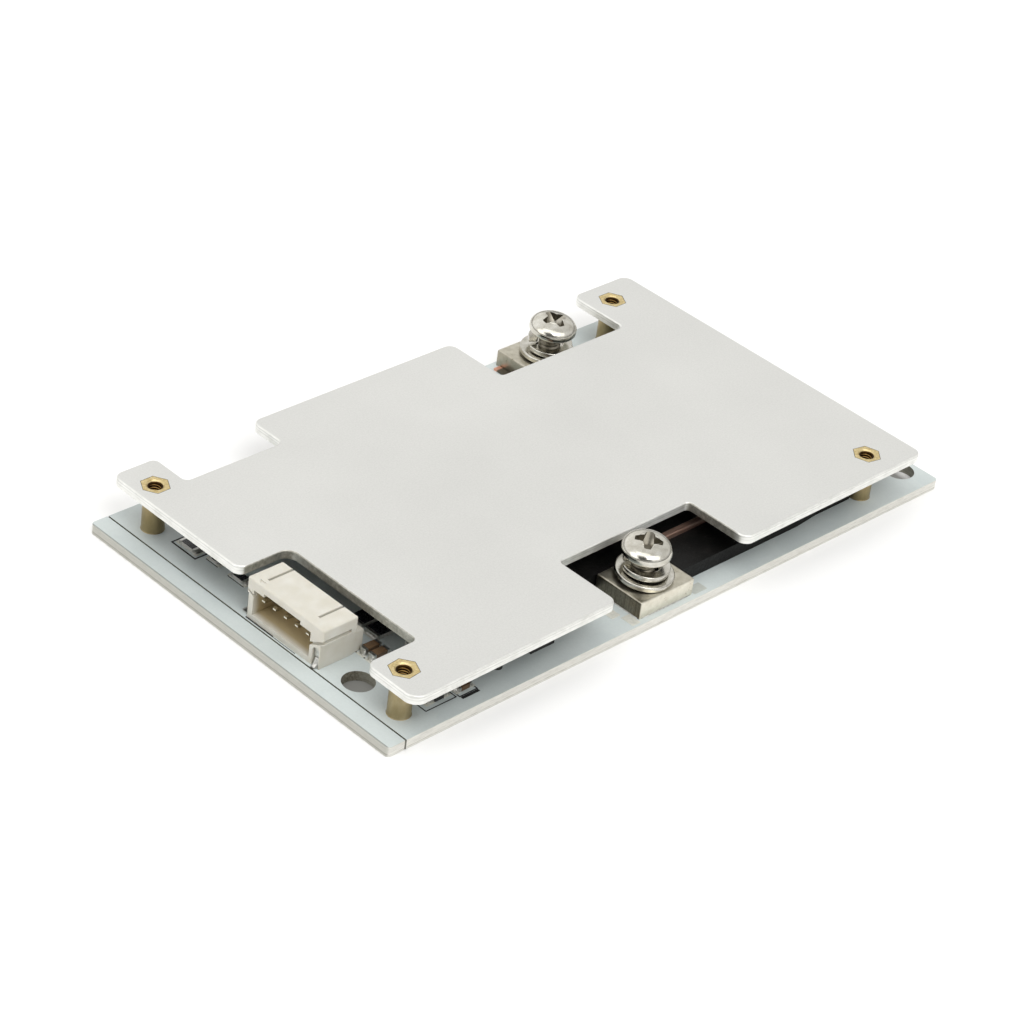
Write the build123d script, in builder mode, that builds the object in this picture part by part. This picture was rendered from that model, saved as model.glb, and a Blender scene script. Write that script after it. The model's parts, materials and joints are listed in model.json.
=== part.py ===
from build123d import *
import os
import math

# Battery management board, millimetres.
# Plan coordinates are written from the board's own corner (x from the
# snap-off strip end, y from the battery-terminal side) and moved by at()
# so that the model's origin is the bottom centre of its bounding box.
# +X runs along the long side, +Z points up through the heat spreader.

os.makedirs("parts", exist_ok=True)

# ---- driving dimensions -------------------------------------------------
board_l = 124.5          # board length, strip end to far end
board_w = 69.0           # board width
board_t = 1.75           # laminate with heavy copper
plate_overhang = 1.1     # heat spreader past the board at its near left corner
plate_gap = 6.5          # clear height under the heat spreader
plate_t = 1.5            # aluminium sheet
z0 = board_t             # component side of the board
z_under = z0 + plate_gap # underside of the heat spreader
z_top = z_under + plate_t

cx = board_l / 2
cy = (board_w - plate_overhang) / 2

groove_x = 3.4           # score line of the snap-off strip
groove_depth = 0.5
groove_half = 0.14

board_hole_r = 2.6
board_holes = [(7.05, 14.4), (120.9, 5.6), (120.9, 63.4), (21.5, 64.9)]

standoff_at = [(6.9, 5.4), (7.1, 62.6), (109.3, 4.7), (109.4, 63.7)]
standoff_af = 4.2        # hexagon across flats
standoff_turn = [6.0, 1.0, -12.0, 0.0]   # angle of each hexagon's corner
standoff_barrel_r = 1.85
standoff_spigot_r = 1.5
standoff_bore_r = 1.05   # tapping size of the 2.5 mm thread
standoff_head_t = 1.1    # depth of the hexagon in the sheet
lead_in_r = 1.5          # countersink at the thread mouth
lead_in_t = 0.35

block_l, block_w, block_t = 12.0, 9.8, 3.0
block_tap_r = 1.65       # tapping size of the 4 mm thread
block_mouth_r = 2.4      # countersunk mouth
block_b = (59.05, 6.0)   # battery side terminal centre
block_p = (92.7, 63.4)   # load side terminal centre
hole_b = (58.76, 6.75)   # tapped holes, a little off the blocks' centres
hole_p = (93.28, 62.85)
z_block = z0 + block_t

head_r, head_h = 4.08, 2.7
shank_root_r = 1.62      # 4 mm thread root, the crests belong to the finish
shank_l = 4.9
recess_r, recess_depth = 2.5, 1.85
recess_tip, recess_web = 0.42, 0.88   # half width at the tips, inner corners
washer_r, washer_hole_r, washer_t = 4.8, 2.25, 0.8
spring_mean_r, spring_w, spring_t, spring_pitch = 3.08, 1.6, 0.9, 1.15

# both screws stand loose, tips resting in the countersunk mouths
tip_b = (58.76, 6.81, 4.21)
lean_b = (-0.0232, -0.0857, 0.9960)
tip_p = (93.31, 62.81, 4.46)
lean_p = (0.0040, -0.0895, 0.9960)

# connector, 2.5 mm pitch, five ways, side entry
con_x0, con_x1 = 4.05, 10.85
con_y0, con_y1 = 19.5, 36.7      # upper body
base_y0, base_y1 = 19.95, 36.25  # lower body, set in
con_top = 8.95
con_split = 6.2                  # height where the two meet
pin_mid_y = 28.75
pin_pitch, pin_sq, pin_z = 2.5, 0.64, 5.7
cavity_y0, cavity_y1 = 22.3, 35.2
cavity_x1 = 9.2


def at(x, y):
    return (x - cx, y - cy)


def at3(x, y, z):
    return (x - cx, y - cy, z)


def place(x, y, z, turn=0.0):
    return Location((x - cx, y - cy, z), (0, 0, turn))


LOW = (Align.CENTER, Align.CENTER, Align.MIN)
CORNER = (Align.MIN, Align.MIN, Align.MIN)

# ---- circuit board ------------------------------------------------------
with BuildPart() as circuit_board:
    with BuildSketch(Plane.XY):
        with Locations(at(board_l / 2, board_w / 2)):
            RectangleRounded(board_l, board_w, 0.7)
        with Locations(*[at(x, y) for x, y in board_holes]):
            Circle(board_hole_r, mode=Mode.SUBTRACT)
        with Locations(*[at(x, y) for x, y in standoff_at]):
            Circle(standoff_spigot_r, mode=Mode.SUBTRACT)
    extrude(amount=board_t)
    # score line of the snap-off strip, top and underside
    with BuildSketch(Plane.XZ.offset(-board_w)):
        with BuildLine():
            Polyline((groove_x - cx - groove_half, board_t + 0.01),
                     (groove_x - cx + groove_half, board_t + 0.01),
                     (groove_x - cx, board_t - groove_depth), close=True)
        make_face()
        with BuildLine():
            Polyline((groove_x - cx - groove_half, -0.01),
                     (groove_x - cx + groove_half, -0.01),
                     (groove_x - cx, groove_depth), close=True)
        make_face()
    extrude(amount=2 * board_w, mode=Mode.SUBTRACT)
circuit_board.part.label = "circuit_board"

# ---- aluminium heat spreader -------------------------------------------
outline = [
    (3.1, -1.1), (3.2, 9.65), (13.2, 9.65), (13.2, 38.05), (3.35, 38.05),
    (3.35, 68.5), (11.75, 68.5), (11.75, 60.9), (31.3, 60.9), (31.3, 68.4),
    (75.2, 68.4), (75.2, 56.2), (104.4, 56.2), (104.4, 68.5), (117.7, 68.5),
    (117.7, -0.35), (74.0, -0.6), (74.0, 11.9), (45.0, 11.9), (45.0, -0.75),
]
corner_r = [2.2, 1.7, 0.9, 2.0, 1.6, 1.7, 1.2, 1.0, 1.0, 1.7,
            1.7, 1.0, 1.0, 1.7, 1.8, 1.6, 1.7, 0.9, 0.9, 1.5]

with BuildPart() as heat_spreader_plate:
    with BuildSketch(Plane.XY.offset(z_under)) as plate_sk:
        with BuildLine():
            Polyline(*[at(x, y) for x, y in outline], close=True)
        make_face()
        for (x, y), r in zip(outline, corner_r):
            here = Vector(*at(x, y))
            fillet(plate_sk.vertices().sort_by(lambda v: (Vector(v.X, v.Y) - here).length)[0], r)
    extrude(amount=plate_t)
    fillet(heat_spreader_plate.faces().sort_by(Axis.Z)[-1].outer_wire().edges(), 0.3)
    with BuildSketch(Plane.XY.offset(z_under)):
        with Locations(*[at(x, y) for x, y in standoff_at]):
            Circle(standoff_barrel_r)
    extrude(amount=plate_t, mode=Mode.SUBTRACT)
    with BuildSketch(Plane.XY.offset(z_top - standoff_head_t)):
        for (x, y), turn in zip(standoff_at, standoff_turn):
            with Locations(at(x, y)):
                RegularPolygon(standoff_af / math.sqrt(3), 6, rotation=turn)
    extrude(amount=standoff_head_t, mode=Mode.SUBTRACT)
heat_spreader_plate.part.label = "heat_spreader_plate"

# ---- brass standoffs: hexagon pressed flush into the sheet --------------
with BuildPart() as standoffs:
    with Locations(*[at3(x, y, 0.15) for x, y in standoff_at]):
        Cylinder(standoff_spigot_r, z0 - 0.15, align=LOW)
    with Locations(*[at3(x, y, z0) for x, y in standoff_at]):
        Cylinder(standoff_barrel_r, z_top - standoff_head_t - z0, align=LOW)
    with BuildSketch(Plane.XY.offset(z_top - standoff_head_t)):
        for (x, y), turn in zip(standoff_at, standoff_turn):
            with Locations(at(x, y)):
                RegularPolygon(standoff_af / math.sqrt(3), 6, rotation=turn)
    extrude(amount=standoff_head_t)
    with Locations(*[at3(x, y, 0) for x, y in standoff_at]):
        Cylinder(standoff_bore_r, z_top, align=LOW, mode=Mode.SUBTRACT)
    with Locations(*[at3(x, y, z_top - lead_in_t) for x, y in standoff_at]):
        Cone(standoff_bore_r, lead_in_r, lead_in_t, align=LOW, mode=Mode.SUBTRACT)
standoffs.part.label = "standoffs"

# ---- plated terminal blocks --------------------------------------------
with BuildPart() as battery_terminal_block:
    with Locations(at3(*block_b, z0)):
        Box(block_l, block_w, block_t, align=LOW)
    top_rim = battery_terminal_block.faces().sort_by(Axis.Z)[-1].edges()
    fillet(battery_terminal_block.edges().filter_by(Axis.Z) + top_rim, 0.28)
    with Locations(at3(*hole_b, z0)):
        Cylinder(block_tap_r, block_t, align=LOW, mode=Mode.SUBTRACT)
    with Locations(at3(*hole_b, z_block - (block_mouth_r - block_tap_r))):
        Cone(block_tap_r, block_mouth_r, block_mouth_r - block_tap_r, align=LOW, mode=Mode.SUBTRACT)
battery_terminal_block.part.label = "battery_terminal_block"

with BuildPart() as load_terminal_block:
    with Locations(at3(*block_p, z0)):
        Box(block_l, block_w, block_t, align=LOW)
    top_rim = load_terminal_block.faces().sort_by(Axis.Z)[-1].edges()
    fillet(load_terminal_block.edges().filter_by(Axis.Z) + top_rim, 0.28)
    with Locations(at3(*hole_p, z0)):
        Cylinder(block_tap_r, block_t, align=LOW, mode=Mode.SUBTRACT)
    with Locations(at3(*hole_p, z_block - (block_mouth_r - block_tap_r))):
        Cone(block_tap_r, block_mouth_r, block_mouth_r - block_tap_r, align=LOW, mode=Mode.SUBTRACT)
load_terminal_block.part.label = "load_terminal_block"

# ---- terminal screw form: pan head, cross recess, root-diameter shank ---
with BuildPart() as recess_form:
    with BuildSketch(Plane.XY.offset(head_h - recess_depth)):
        with BuildLine():
            wings = [(recess_r, -recess_tip), (recess_r, recess_tip), (recess_web, recess_web)]
            turned = [(x * math.cos(a) - y * math.sin(a), x * math.sin(a) + y * math.cos(a))
                      for a in (0, math.pi / 2, math.pi, 3 * math.pi / 2) for x, y in wings]
            Polyline(*turned, close=True)
        make_face()
    extrude(amount=recess_depth + 0.2)
    with Locations((0, 0, head_h - recess_depth)):
        Cone(0.95, recess_r + 0.12, recess_depth + 0.2, align=LOW, mode=Mode.INTERSECT)

with BuildPart() as screw_form:
    with BuildSketch(Plane.XZ):
        with BuildLine():
            Line((0, 0), (3.6, 0))
            ThreePointArc((3.6, 0), (3.93, 0.17), (head_r, 0.6))
            Line((head_r, 0.6), (head_r, 0.82))
            Spline((head_r, 0.82), (3.86, 1.52), (3.2, 2.12), (1.8, 2.56), (0, head_h),
                   tangents=((0, 1), (-1, 0)))
            Line((0, head_h), (0, 0))
        make_face()
    revolve(axis=Axis.Z)
    with Locations((0, 0, -shank_l)):
        Cylinder(shank_root_r, shank_l, align=LOW)
    chamfer(screw_form.edges().sort_by(Axis.Z)[0], 0.35)
    add(recess_form.part, mode=Mode.SUBTRACT)

def leaning(tip, lean, up):
    """Plane across a leaning screw's axis, this far above its tip."""
    ax = Vector(*lean).normalized()
    side = Vector(1, 0, 0) - ax * ax.X
    return Plane(origin=Vector(*at3(*tip)) + ax * up, x_dir=side, z_dir=ax)


with BuildPart() as battery_terminal_screw:
    with Locations(leaning(tip_b, lean_b, shank_l).location * Location((0, 0, 0), (0, 0, 38))):
        add(screw_form.part)
battery_terminal_screw.part.label = "battery_terminal_screw"

with BuildPart() as load_terminal_screw:
    with Locations(leaning(tip_p, lean_p, shank_l).location * Location((0, 0, 0), (0, 0, -9))):
        add(screw_form.part)
load_terminal_screw.part.label = "load_terminal_screw"

# ---- flat washers, each resting on one side of its rim ------------------
with BuildPart() as washer_form:
    Cylinder(washer_r, washer_t, align=LOW)
    Cylinder(washer_hole_r, washer_t, align=LOW, mode=Mode.SUBTRACT)
    fillet(washer_form.edges().group_by(Axis.Z)[-1].sort_by(SortBy.RADIUS)[-1:], 0.25)

# slope of each washer along +X and +Y
slope_b = (-0.022, 0.106)
slope_p = (-0.020, 0.050)


def sloping(x, y, z, slope, turn=0.0):
    up = Vector(-slope[0], -slope[1], 1)
    flat = Plane(origin=at3(x, y, z), x_dir=(1, 0, slope[0]), z_dir=up)
    return flat.location * Location((0, 0, 0), (0, 0, turn))


flat_b = (block_b[0] - 0.28, block_b[1] + 0.28)
flat_p = (block_p[0] + 0.57, block_p[1] - 0.60)
with BuildPart() as battery_flat_washer:
    with Locations(sloping(*flat_b, z_block + washer_r * math.hypot(*slope_b) + 0.01, slope_b)):
        add(washer_form.part)
battery_flat_washer.part.label = "battery_flat_washer"

with BuildPart() as load_flat_washer:
    with Locations(sloping(*flat_p, z_block + washer_r * math.hypot(*slope_p) + 0.01, slope_p)):
        add(washer_form.part)
load_flat_washer.part.label = "load_flat_washer"

# ---- split spring washers: one turn of flat wire, cut left-handed -------
with BuildPart() as spring_form:
    with BuildLine():
        coil = Helix(pitch=spring_pitch, height=spring_pitch * 0.965, radius=spring_mean_r)
    with BuildSketch(Plane(origin=coil @ 0, z_dir=coil % 0, x_dir=(1, 0, 0))):
        RectangleRounded(spring_w, spring_t, 0.18)
    sweep(is_frenet=True)

with BuildPart() as battery_spring_washer:
    with Locations(sloping(block_b[0] - 0.22, block_b[1] + 0.22, z_block + 1.79, (-0.062, 0.112), 158)):
        add(spring_form.part)
battery_spring_washer.part.label = "battery_spring_washer"

with BuildPart() as load_spring_washer:
    with Locations(leaning(tip_p, lean_p, shank_l - 2.9).location * Location((0.08, 0.02, 0), (0, 0, 165))):
        add(spring_form.part)
load_spring_washer.part.label = "load_spring_washer"

# ---- cell tap connector -------------------------------------------------
pin_ys = [pin_mid_y + (i - 2) * pin_pitch for i in range(5)]
slot_y = (20.1, 21.6)            # arched slot of the near holding tab
far_tab_y = (36.25, 37.6)        # the far tab lies outside the base

with BuildPart() as connector_housing:
    with Locations(at3(con_x0, con_y0, con_split)):
        Box(con_x1 - con_x0, con_y1 - con_y0, con_top - con_split, align=CORNER)
    fillet(connector_housing.edges().filter_by(Axis.Z)
           + connector_housing.faces().sort_by(Axis.Z)[-1].edges(), 0.28)
    with Locations(at3(con_x0, base_y0, z0)):
        Box(con_x1 - con_x0, base_y1 - base_y0, con_split - z0, align=CORNER)
    # foot blocks at both ends, longer than the roof
    with Locations(at3(con_x1 - 0.5, base_y0 + 0.2, z0), at3(con_x1 - 0.5, base_y1 - 2.1, z0)):
        Box(2.45, 2.1, 3.7, align=CORNER)
    # grooves along the sides, running out through the front corners
    with Locations(at3(con_x0 + 0.6, con_y0 - 0.1, con_split + 0.3)):
        Box(5.0, 0.75, 0.62, align=CORNER, mode=Mode.SUBTRACT)
    with Locations(at3(con_x0 + 0.6, con_y1 - 0.65, con_split + 0.3)):
        Box(5.0, 0.75, 0.62, align=CORNER, mode=Mode.SUBTRACT)
    with BuildSketch(Plane.YZ.offset(con_x0 - cx)):
        with BuildLine():
            Polyline((con_y0 - 0.1 - cy, 6.5), (cavity_y0 + 0.1 - cy, 4.95), (cavity_y0 + 0.1 - cy, 5.5),
                     (con_y0 - 0.1 - cy, 7.12), close=True)
        make_face()
        with BuildLine():
            Polyline((con_y1 + 0.1 - cy, 6.72), (cavity_y1 - 0.1 - cy, 5.9), (cavity_y1 - 0.1 - cy, 6.3),
                     (con_y1 + 0.1 - cy, 7.12), close=True)
        make_face()
    extrude(amount=0.62, mode=Mode.SUBTRACT)
    # mating cavity with a raised keyway in the roof
    with Locations(at3(con_x0 - 0.1, cavity_y0, z0 + 1.0)):
        Box(cavity_x1 - con_x0 + 0.1, cavity_y1 - cavity_y0, 4.45, align=CORNER, mode=Mode.SUBTRACT)
    with Locations(at3(con_x0 - 0.1, 24.7, z0 + 5.3)):
        Box(cavity_x1 - con_x0 + 0.1, 8.2, 0.75, align=CORNER, mode=Mode.SUBTRACT)
    # latch slots in the roof, open at the rear
    with Locations(at3(con_x0 + 1.8, 22.5, z0 + 5.3), at3(con_x0 + 1.8, 33.9, z0 + 5.3)):
        Box(con_x1 - con_x0, 0.46, 2.2, align=CORNER, mode=Mode.SUBTRACT)
    # first-way mark on the roof
    with BuildSketch(Plane.XY.offset(con_top - 0.15)):
        with Locations(at(con_x0 + 0.75, 34.3)):
            Triangle(a=1.4, b=1.05, c=1.05, rotation=90)
    extrude(amount=0.4, mode=Mode.SUBTRACT)
    # way through the rear wall for each pin
    with Locations(*[at3((cavity_x1 + con_x1) / 2, y, pin_z) for y in pin_ys]):
        Box(con_x1 - cavity_x1 + 0.5, pin_sq, pin_sq, mode=Mode.SUBTRACT)
    # arched slot for the near holding tab
    with BuildSketch(Plane.YZ.offset(con_x0 - cx)):
        with Locations(((slot_y[0] + slot_y[1]) / 2 - cy, z0 + 1.35)):
            Rectangle(slot_y[1] - slot_y[0], 2.7)
        with Locations(((slot_y[0] + slot_y[1]) / 2 - cy, z0 + 2.7)):
            Circle((slot_y[1] - slot_y[0]) / 2)
    extrude(amount=0.75, mode=Mode.SUBTRACT)
connector_housing.part.label = "connector_housing"

with BuildPart() as connector_pins:
    h = pin_sq / 2
    for y in pin_ys:
        with BuildSketch(Plane.XZ.offset(-(y - cy - h))):
            with BuildLine():
                Polyline((con_x0 + 0.75 - cx, pin_z - h * 0.4), (con_x0 + 1.15 - cx, pin_z - h),
                         (11.55 - cx, pin_z - h), (11.55 - cx, z0), (13.9 - cx, z0),
                         (13.9 - cx, z0 + 0.4), (12.19 - cx, z0 + 0.4), (12.19 - cx, pin_z + h),
                         (con_x0 + 1.15 - cx, pin_z + h), (con_x0 + 0.75 - cx, pin_z + h * 0.4),
                         close=True)
            make_face()
        extrude(amount=-pin_sq)
connector_pins.part.label = "connector_pins"

with BuildPart() as connector_solder_tabs:
    # near tab: sheet standing in the arched slot
    with BuildSketch(Plane.YZ.offset(con_x0 + 0.4 - cx)):
        with Locations(((slot_y[0] + slot_y[1]) / 2 - cy, z0 + 1.35)):
            Rectangle(slot_y[1] - slot_y[0] - 0.1, 2.7)
        with Locations(((slot_y[0] + slot_y[1]) / 2 - cy, z0 + 2.7)):
            Circle((slot_y[1] - slot_y[0] - 0.1) / 2)
    extrude(amount=0.3)
    # far tab: a flat foot soldered beside the base, with its upright
    with Locations(at3(con_x0 + 0.35, far_tab_y[0], z0)):
        Box(2.4, far_tab_y[1] - far_tab_y[0], 0.3, align=CORNER)
    with Locations(at3(con_x0 + 0.35, far_tab_y[0], z0)):
        Box(2.4, 0.3, 2.6, align=CORNER)
connector_solder_tabs.part.label = "connector_solder_tabs"

# ---- power transistors, potting, pads and bars --------------------------
fet_l, fet_w, fet_h = 5.0, 6.0, 1.1
front_fets = [(70.2 + 6.3 * i, 7.75) for i in range(6)]
rear_fets = [(37.5 + 6.3 * i, 61.0) for i in range(6)]
lone_fets = [(35.4, 7.15), (28.4, 12.9)]

with BuildPart() as discharge_mosfets:
    with Locations(*[at3(x, y, z0) for x, y in front_fets + lone_fets]):
        Box(fet_l, fet_w - 0.6, fet_h, align=LOW)
discharge_mosfets.part.label = "discharge_mosfets"

with BuildPart() as charge_mosfets:
    with Locations(*[at3(x, y, z0) for x, y in rear_fets]):
        Box(fet_l, fet_w - 0.6, fet_h, align=LOW)
charge_mosfets.part.label = "charge_mosfets"

with BuildPart() as mosfet_leads:
    for x, y in front_fets + rear_fets:
        with Locations(*[at3(x + dx, y - fet_w / 2 + 0.15, z0) for dx in (-1.905, -0.635, 0.635, 1.905)]):
            Box(0.5, 0.3, 0.25, align=LOW)
        with Locations(at3(x, y + fet_w / 2 - 0.15, z0)):
            Box(4.2, 0.3, 0.25, align=LOW)
mosfet_leads.part.label = "mosfet_leads"

pot_h = 2.5
bar_w, bar_h = 1.2, 3.35
bar_x0 = 60.5
with BuildPart() as mosfet_potting_front:
    with Locations(at3(65.3, 4.25, z0)):
        Box(107.0 - 65.3, 6.95, pot_h, align=CORNER)
    with Locations(at3(48.5, 11.2, z0)):
        Box(107.0 - 48.5, 6.6, pot_h, align=CORNER)
    with Locations(*[at3(x, y, z0) for x, y in front_fets]):
        Box(fet_l, fet_w, fet_h, align=LOW, mode=Mode.SUBTRACT)
    with Locations(at3(bar_x0, 11.4, z0)):
        Box(60.0, bar_w, pot_h, align=CORNER, mode=Mode.SUBTRACT)
    # the compound stops a little short towards the right end
    with BuildSketch(Plane.XY.offset(z0)):
        with BuildLine():
            Polyline(at(93.5, 4.25), at(98.5, 4.74), at(107.0, 4.74), at(107.0, 4.25), close=True)
        make_face()
    extrude(amount=pot_h, mode=Mode.SUBTRACT)
mosfet_potting_front.part.label = "mosfet_potting_front"

with BuildPart() as mosfet_potting_rear:
    with Locations(at3(34.0, 57.5, z0)):
        Box(40.0, 7.0, pot_h, align=CORNER)
    with Locations(*[at3(x, y, z0) for x, y in rear_fets]):
        Box(fet_l, fet_w, fet_h, align=LOW, mode=Mode.SUBTRACT)
mosfet_potting_rear.part.label = "mosfet_potting_rear"

with BuildPart() as thermal_pad_front:
    with Locations(at3(80.0, 4.6, z0 + pot_h)):
        Box(106.6 - 80.0, 6.4, plate_gap - pot_h, align=CORNER)
thermal_pad_front.part.label = "thermal_pad_front"

with BuildPart() as thermal_pad_rear:
    with Locations(at3(34.4, 57.8, z0 + pot_h)):
        Box(39.2, 6.4, plate_gap - pot_h, align=CORNER)
thermal_pad_rear.part.label = "thermal_pad_rear"

with BuildPart() as front_busbar:
    with Locations(at3(bar_x0, 11.4, z0)):
        Box(109.5 - bar_x0, bar_w, bar_h, align=CORNER)
    fillet(front_busbar.faces().sort_by(Axis.Z)[-1].edges().filter_by(Axis.X), 0.2)
front_busbar.part.label = "front_busbar"

with BuildPart() as rear_busbar:
    with Locations(at3(35.0, 54.0, z0)):
        Box(51.6, bar_w, bar_h, align=CORNER)
    with Locations(at3(85.2, 54.0, z0)):
        Box(1.4, 13.2, 0.35, align=CORNER)
rear_busbar.part.label = "rear_busbar"

with BuildPart() as current_shunts:
    with Locations(*[at3(56.0 + 8.0 * i, 20.6, z0) for i in range(4)]):
        Box(6.4, 3.2, 0.8, align=LOW)
current_shunts.part.label = "current_shunts"

# ---- control parts ------------------------------------------------------
ic_at = (48.0, 33.0)
with BuildPart() as protection_ic:
    with Locations(at3(*ic_at, z0 + 0.1)):
        Box(10.2, 5.3, 1.75, align=LOW)
    chamfer(protection_ic.faces().sort_by(Axis.Z)[-1].edges(), 0.2)
protection_ic.part.label = "protection_ic"

with BuildPart() as protection_ic_leads:
    for side in (-1, 1):
        with Locations(*[at3(ic_at[0] + (i - 6.5) * 0.65, ic_at[1] + side * 3.0, z0 + 0.75) for i in range(14)]):
            Box(0.3, 0.7, 0.2, align=LOW)
        with Locations(*[at3(ic_at[0] + (i - 6.5) * 0.65, ic_at[1] + side * 3.275, z0) for i in range(14)]):
            Box(0.3, 0.2, 0.95, align=LOW)
        with Locations(*[at3(ic_at[0] + (i - 6.5) * 0.65, ic_at[1] + side * 3.55, z0) for i in range(14)]):
            Box(0.3, 0.7, 0.18, align=LOW)
protection_ic_leads.part.label = "protection_ic_leads"

# chips: x, y, turn, length, width, height, end cap length
balance_list = ([(19.5, 21.9 + 3.65 * i, 0, 6.3, 3.0, 0.65, 0.55) for i in range(2)]
                + [(24.5, 44.0 + 3.65 * i, 0, 6.3, 3.0, 0.65, 0.55) for i in range(3)])
resistor_list = [
    (8.75, 55.2, 90, 3.6, 1.9, 0.7, 0.45), (9.5, 50.0, 90, 2.0, 1.25, 0.5, 0.35),
    (9.5, 44.2, 90, 3.0, 1.5, 0.6, 0.45), (9.9, 40.6, 90, 2.0, 1.25, 0.5, 0.35),
    (38.0, 29.0, 90, 2.0, 1.25, 0.5, 0.35), (38.0, 33.0, 90, 2.0, 1.25, 0.5, 0.35),
    (38.0, 37.0, 90, 2.0, 1.25, 0.5, 0.35), (58.0, 30.0, 90, 2.0, 1.25, 0.5, 0.35),
    (58.0, 36.0, 90, 2.0, 1.25, 0.5, 0.35), (27.0, 22.0, 90, 2.0, 1.25, 0.5, 0.35),
    (27.0, 26.0, 90, 2.0, 1.25, 0.5, 0.35), (27.0, 30.0, 90, 2.0, 1.25, 0.5, 0.35),
    (27.0, 34.0, 90, 2.0, 1.25, 0.5, 0.35),
]
capacitor_list = [
    (13.7, 19.15, 0, 3.2, 1.3, 1.1, 0.5), (13.7, 17.3, 0, 3.2, 1.3, 1.1, 0.5),
    (18.75, 4.45, 0, 2.6, 1.35, 0.8, 0.45), (44.0, 26.5, 0, 3.2, 1.6, 1.2, 0.5),
    (52.0, 26.5, 0, 3.2, 1.6, 1.2, 0.5), (31.0, 24.0, 90, 3.2, 1.6, 1.2, 0.5),
    (31.0, 29.0, 90, 3.2, 1.6, 1.2, 0.5),
]
with BuildPart() as balance_resistors:
    for x, y, turn, l, w, h, e in balance_list:
        with Locations(place(x, y, z0, turn)):
            Box(l - 2 * e, w, h, align=LOW)
balance_resistors.part.label = "balance_resistors"

with BuildPart() as chip_resistors:
    for x, y, turn, l, w, h, e in resistor_list:
        with Locations(place(x, y, z0, turn)):
            Box(l - 2 * e, w, h, align=LOW)
chip_resistors.part.label = "chip_resistors"

with BuildPart() as chip_capacitors:
    for x, y, turn, l, w, h, e in capacitor_list:
        with Locations(place(x, y, z0, turn)):
            Box(l - 2 * e, w, h, align=LOW)
chip_capacitors.part.label = "chip_capacitors"

with BuildPart() as chip_end_caps:
    for x, y, turn, l, w, h, e in balance_list + resistor_list + capacitor_list:
        with Locations(place(x, y, z0, turn) * Location((-(l - e) / 2, 0, 0)),
                       place(x, y, z0, turn) * Location(((l - e) / 2, 0, 0))):
            Box(e, w, h, align=LOW)
chip_end_caps.part.label = "chip_end_caps"

# three-legged small transistors: body and three feet
sot_list = [(20.4, 17.3, 90), (12.0, 47.3, 90), (31.0, 35.0, 0), (31.0, 39.5, 0), (62.0, 26.0, 0)]
with BuildPart() as small_transistors:
    for x, y, turn in sot_list:
        with Locations(place(x, y, z0 + 0.08, turn)):
            Box(2.9, 1.4, 1.0, align=LOW)
small_transistors.part.label = "small_transistors"

with BuildPart() as small_transistor_leads:
    for x, y, turn in sot_list:
        base = place(x, y, z0, turn)
        with Locations(base * Location((-0.95, -0.95, 0)), base * Location((0.95, -0.95, 0)),
                       base * Location((0, 0.95, 0))):
            Box(0.4, 0.5, 0.55, align=LOW)
small_transistor_leads.part.label = "small_transistor_leads"

with BuildPart() as blocking_diode:
    with Locations(at3(13.8, 4.9, z0)):
        Box(1.8, 1.5, 0.8, align=LOW)
blocking_diode.part.label = "blocking_diode"

with BuildPart() as diode_leads:
    with Locations(at3(12.4, 4.9, z0), at3(15.2, 4.9, z0)):
        Box(1.0, 1.2, 0.5, align=LOW)
diode_leads.part.label = "diode_leads"

with BuildPart() as temperature_sensor:
    with BuildSketch(Plane.XZ.offset(-(5.1 - cy))):
        with BuildLine():
            Line((26.5 - cx, z0), (27.3 - cx, z0))
            Spline((27.3 - cx, z0), (27.25 - cx, z0 + 1.0), (26.5 - cx, z0 + 1.7), tangents=((0.1, 1), (-1, 0)))
            Line((26.5 - cx, z0 + 1.7), (26.5 - cx, z0))
        make_face()
    revolve(axis=Axis((26.5 - cx, 5.1 - cy, 0), (0, 0, 1)))
temperature_sensor.part.label = "temperature_sensor"

# ---- export -------------------------------------------------------------
pieces = [
    circuit_board, heat_spreader_plate, standoffs,
    battery_terminal_block, load_terminal_block,
    battery_terminal_screw, load_terminal_screw,
    battery_flat_washer, load_flat_washer,
    battery_spring_washer, load_spring_washer,
    connector_housing, connector_pins, connector_solder_tabs,
    discharge_mosfets, charge_mosfets, mosfet_leads,
    mosfet_potting_front, mosfet_potting_rear,
    thermal_pad_front, thermal_pad_rear, front_busbar, rear_busbar,
    current_shunts, protection_ic, protection_ic_leads,
    balance_resistors, chip_resistors, chip_capacitors, chip_end_caps,
    small_transistors, small_transistor_leads, blocking_diode, diode_leads,
    temperature_sensor,
]
for piece in pieces:
    export_step(piece.part, "parts/" + piece.part.label + ".step")
    b = piece.part.bounding_box()
    print(piece.part.label, len(piece.part.solids()), round(piece.part.volume, 2),
          [round(v, 2) for v in (b.min.X, b.min.Y, b.min.Z, b.max.X, b.max.Y, b.max.Z)])
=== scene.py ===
import bpy, bmesh, math, json, random
from mathutils import Vector, Matrix


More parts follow.
